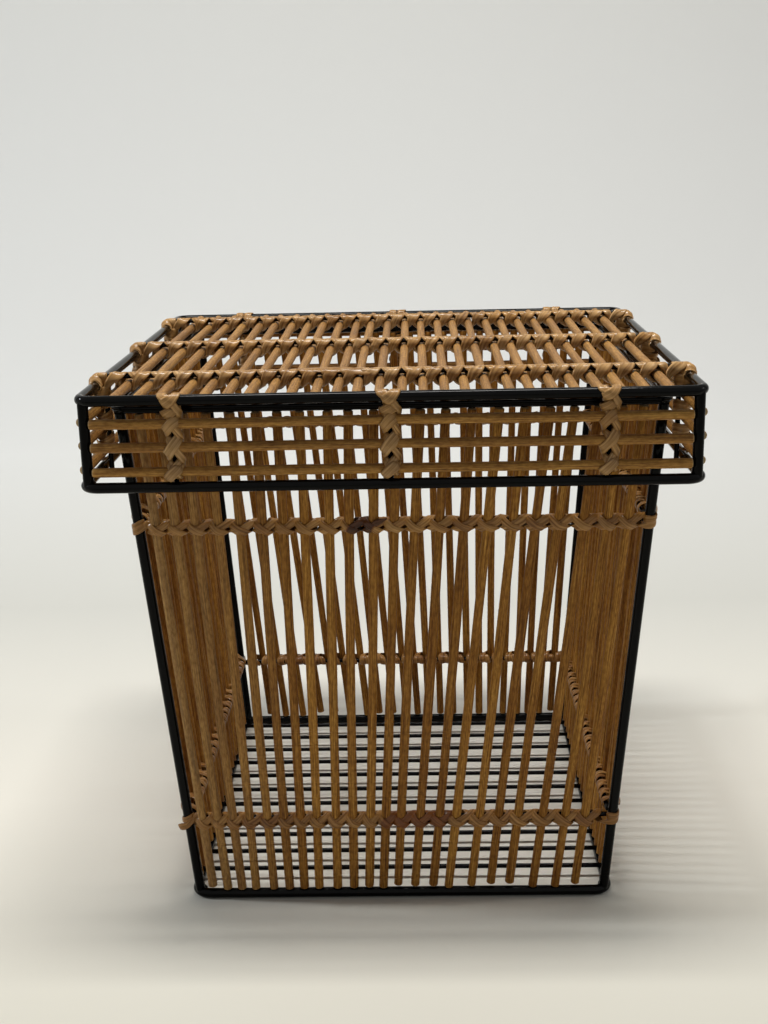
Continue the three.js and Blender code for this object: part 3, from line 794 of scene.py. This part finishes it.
splice_facings = np.array([
    [0, -0.6, -0.8, 0.9], [0, -1, 0, 1.1], [0, -1, 0.2, 1.2], [0, -0.9, 0.4, 1.1],
    [0, -0.9, 0.4, 1.1], [0, -0.8, 0.6, 1.2], [0, -0.75, 0.65, 1.2], [0, -0.8, 0.5, 0.9],
])

# Each strand has its table, how far from the rails it crosses the wire once or twice more, and
# for its turn round a rail the angles, the rises, the reach behind it, the width and the lean.
# The turns take the place of the first three keys and of all but the last crossing's first two.
rail_angles = np.array([10, 50, 90, 135, 180, 225, 270, 315])
row_strands = {
    "over": (
        lid_over_strand, [0.0085, 0.0020],
        rail_angles[1:], np.linspace(4.6, 3.4, 7), 0.0047, 1.15, 1.0,
    ),
    "under": (
        lid_under_strand, [0.0],
        rail_angles, np.linspace(-2.4, 0.0, 8), wire_top - 0.0006, 1.35, 0.0,
    ),
}
for number, wire in enumerate(cross_wires):
    low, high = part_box(wire)
    origin = [0, (low.y + high.y) / 2, lid_level]
    axes = np.array([[1, 0, 0], [0, 0, -1], [0, -1, 0], origin], float)
    for name, (table, from_rail, angles, rises, reach, width, lean) in row_strands.items():
        seed = 100 + number * 10 + len(angles)
        beyond = lid_half - np.array(from_rail)
        crossings = np.concatenate([-beyond[::-1], lid_runs, beyond])
        places, facings = strand_keys(table, crossings, 0 * crossings, seed)
        start = wrap_keys(-lid_half, 0, -1, angles, rises, reach, width, lean)
        end = wrap_keys(lid_half, 0, 1, angles[::-1], rises[::-1], reach, width, lean)
        between = slice(3, 2 - len(table))
        strand = [start, (places[between], facings[between]), end]
        peel_piece(f"{wire}_binding_{name}", strand, axes, "lid", seed)

    if wire == "lid_cross_wire_front":
        peel_piece(f"{wire}_splice", [(splice * millimetre, splice_facings)], axes, "lid", 99)


# The skirt's bindings: two strands start over the top rail at each upright wire, pass down it
# over the three level canes and are tucked in behind the lowest one. A broad slanting turn of
# peel closes them there.
skirt_over_strand = over_strand * [1, 1, 1.3, 1, 1, 1, 1.35] + [0, 0, 0.1, 0, 0, 0, 0]
skirt_under_strand = under_strand * [1, 1, 1.2, 1, 1, 1, 0.85] + [0, 0, 1.0, 0, 0, 0, 0]
rail_crossing = 0.0070
crossings = np.append([0, rail_crossing], skirt_drops)
taken_back = np.array([-0.0003, 0.0012, 0, 0, 0])

# Each strand has its table, the hand it winds with, its rises round the top rail and the
# crossings it makes. The turn round the rail stands in for its first two keys, and the tucked
# end for all but the first three at the lowest cane.
top_rail_angles = [210, 170, 130, 90, 50]
skirt_strands = {
    "over": (skirt_over_strand, 1, np.array([3.0, 3.1, 3.2, 3.4, 3.2]), [0, 1, 2, 3, 4]),
    "under": (skirt_under_strand, -1, np.array([2.6, 2.8, 3.2, 4.4, 4.6]), [0, 2, 3, 4]),
}
lowest_cane = [skirt_drops[2], 0, 0]
tuck = np.array([[2.2, 2.4, -2.2], [3.6, -0.8, -2.4], [2.4, -3.6, -1.4]]) * millimetre
tuck_facings = np.array([[0.7, 0.7, 0, 0.9], [1, 0, 0, 0.8], [0.5, -0.8, 0, 0.7]])
knot = np.array([
    [4.6, -0.6, -4.4], [3.2, 3.0, -3.4], [0.4, 4.6, -0.6], [-2.2, 3.6, 2.6], [-4.0, 0.6, 4.0],
]) * millimetre + lowest_cane
knot_facings = np.array([
    [0.5, 0.6, -0.7, 1.0], [0.4, 0.9, -0.3, 1.2], [0, 1, 0, 1.3], [-0.4, 0.9, 0.2, 1.2],
    [-0.6, 0.5, 0.6, 1.0],
])

for turns, side in enumerate(four_sides):
    plane = skirts[side]
    for number, spot in enumerate(wire_spots):
        low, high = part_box(f"lid_{side}_wire_{spot}")
        centre = (np.array(low) + np.array(high)) / 2 - plane[:3, 3]
        origin = plane[:3, 0] * (centre @ plane[:3, 0]) + plane[:3, 3]
        axes = np.array([[0, 0, -1], -plane[:3, 1], plane[:3, 0], origin])
        seed = 200 + turns * 10 + number
        for name, (table, hand, rises, rows) in skirt_strands.items():
            places, facings = strand_keys(table, crossings[rows], taken_back[rows], seed)
            start = wrap_keys(0, 0, -1, top_rail_angles, hand * rises, rod_radius, 1.15)
            between = slice(2, len(table) * (len(rows) - 1) + 3)
            tucked = (tuck * [1, 1, hand] + lowest_cane, tuck_facings)
            strand = [start, (places[between], facings[between]), tucked]
            peel_piece(f"lid_{side}_{spot}_binding_{name}", strand, axes, "lid", seed, width=1.05)
        knot_parts = [(knot, knot_facings)]
        peel_piece(f"lid_{side}_{spot}_knot", knot_parts, axes, "lid", seed + 5, tone_level=1.0)


# The room: a pale sheet of paper runs from the floor up behind the basket in one sweep. A small
# soft lamp stands far to either side, the left one stronger, with a long narrow one overhead.
# Where the paper ends, the room beyond it looks as pale as the paper does.
sweep_radius = 0.8
sweep_starts_at = 1.2
sweep_turn = np.linspace(0, np.pi / 2, 24)
sweep_y = sweep_starts_at + sweep_radius * np.sin(sweep_turn)
sweep_z = sweep_radius - sweep_radius * np.cos(sweep_turn)
sweep = np.concatenate([
    [[-6.0, 0.0], [-3.0, 0.0]],
    np.stack([sweep_y, sweep_z], axis=1),
    [[2.0, 4.0]],
])
across = np.linspace(-6, 6, 9)
wide = len(across)
points = np.array([[x, y, z] for y, z in sweep for x in across])
index = np.arange(len(sweep) - 1)[:, None] * wide + np.arange(wide - 1)[None]
faces = np.stack([index, index + 1, index + wide + 1, index + wide], axis=-1).reshape(-1, 4)
mesh = bpy.data.meshes.new("paper_sweep")
mesh.from_pydata(points.tolist(), [], faces.tolist())
mesh.polygons.foreach_set("use_smooth", np.ones(len(faces), dtype=bool))
paper_sweep = bpy.data.objects.new("paper_sweep", mesh)
bpy.context.scene.collection.objects.link(paper_sweep)

paper, tree, paper_shader = new_finish("pale_paper", mirroring=0.5)
paper_shader.inputs["Roughness"].default_value = 0.85
in_space = tree.nodes.new("ShaderNodeTexCoord").outputs["Object"]
paper_axes = tree.nodes.new("ShaderNodeSeparateXYZ")
from_the_front = tree.nodes.new("ShaderNodeMapRange")
from_the_front.inputs["From Min"].default_value = -0.3
from_the_front.inputs["From Max"].default_value = 1.2
tree.links.new(in_space, paper_axes.inputs["Vector"])
tree.links.new(paper_axes.outputs["Y"], from_the_front.inputs["Value"])
# The paper's colour is painted light and shade from front to back. It is lighter under the basket,
# against the shadow the basket casts there. It is darker in front of the basket and behind it, and
# lighter again where the sweep rises.
paper_painted_light_and_shade = coloured(
    tree, from_the_front.outputs["Result"],
    (0, 0.62, 0.60, 0.52), (0.2, 0.73, 0.705, 0.63), (0.5, 0.58, 0.575, 0.53), (1, 0.775, 0.775, 0.75),
)
tree.links.new(paper_painted_light_and_shade, paper_shader.inputs["Base Color"])
mesh.materials.append(paper)


def soft_lamp(name, place, target, size, watts, colour):
    """A rectangular lamp of a width and a depth at a place, turned towards a target."""
    lamp_data = bpy.data.lights.new(name, "AREA")
    lamp_data.shape = "RECTANGLE"
    lamp_data.size, lamp_data.size_y = size
    lamp_data.energy = watts
    lamp_data.color = colour
    lamp = bpy.data.objects.new(name, lamp_data)
    facing = (Vector(target) - Vector(place)).to_track_quat("-Z", "Y")
    lamp.matrix_world = Matrix.Translation(place) @ facing.to_matrix().to_4x4()
    bpy.context.scene.collection.objects.link(lamp)


soft_lamp("left_lamp", (-3.8, 0.05, 2.35), (0, 0, 0.15), (0.28, 0.28), 62, (0.90, 0.95, 1.0))
soft_lamp("right_lamp", (3.8, 0.05, 2.35), (0, 0, 0.15), (0.28, 0.28), 18, (1.0, 0.98, 0.95))
soft_lamp("ceiling_lamp", (0.0, 0.0, 2.3), (0, 0.1, 0.2), (1.0, 0.3), 44, (1.0, 0.98, 0.95))

world = bpy.data.worlds.new("room")
world.use_nodes = True
tree = world.node_tree
room_light = tree.nodes["Background"]
room_light.inputs["Color"].default_value = (0.95, 0.97, 1.0, 1)
room_light.inputs["Strength"].default_value = 0.17
room_seen = tree.nodes.new("ShaderNodeBackground")
room_seen.inputs["Color"].default_value = (0.69, 0.69, 0.665, 1)
ray = tree.nodes.new("ShaderNodeLightPath")
is_seen = ray.outputs["Is Camera Ray"]
for kind in ("Is Glossy Ray", "Is Transmission Ray"):
    either = tree.nodes.new("ShaderNodeMath")
    either.operation = "MAXIMUM"
    tree.links.new(is_seen, either.inputs[0])
    tree.links.new(ray.outputs[kind], either.inputs[1])
    is_seen = either.outputs["Value"]
light_or_seen = tree.nodes.new("ShaderNodeMixShader")
tree.links.new(is_seen, light_or_seen.inputs["Fac"])
tree.links.new(room_light.outputs["Background"], light_or_seen.inputs[1])
tree.links.new(room_seen.outputs["Background"], light_or_seen.inputs[2])
tree.links.new(light_or_seen.outputs["Shader"], tree.nodes["World Output"].inputs["Surface"])
bpy.context.scene.world = world
bpy.context.scene.view_settings.view_transform = "Standard"
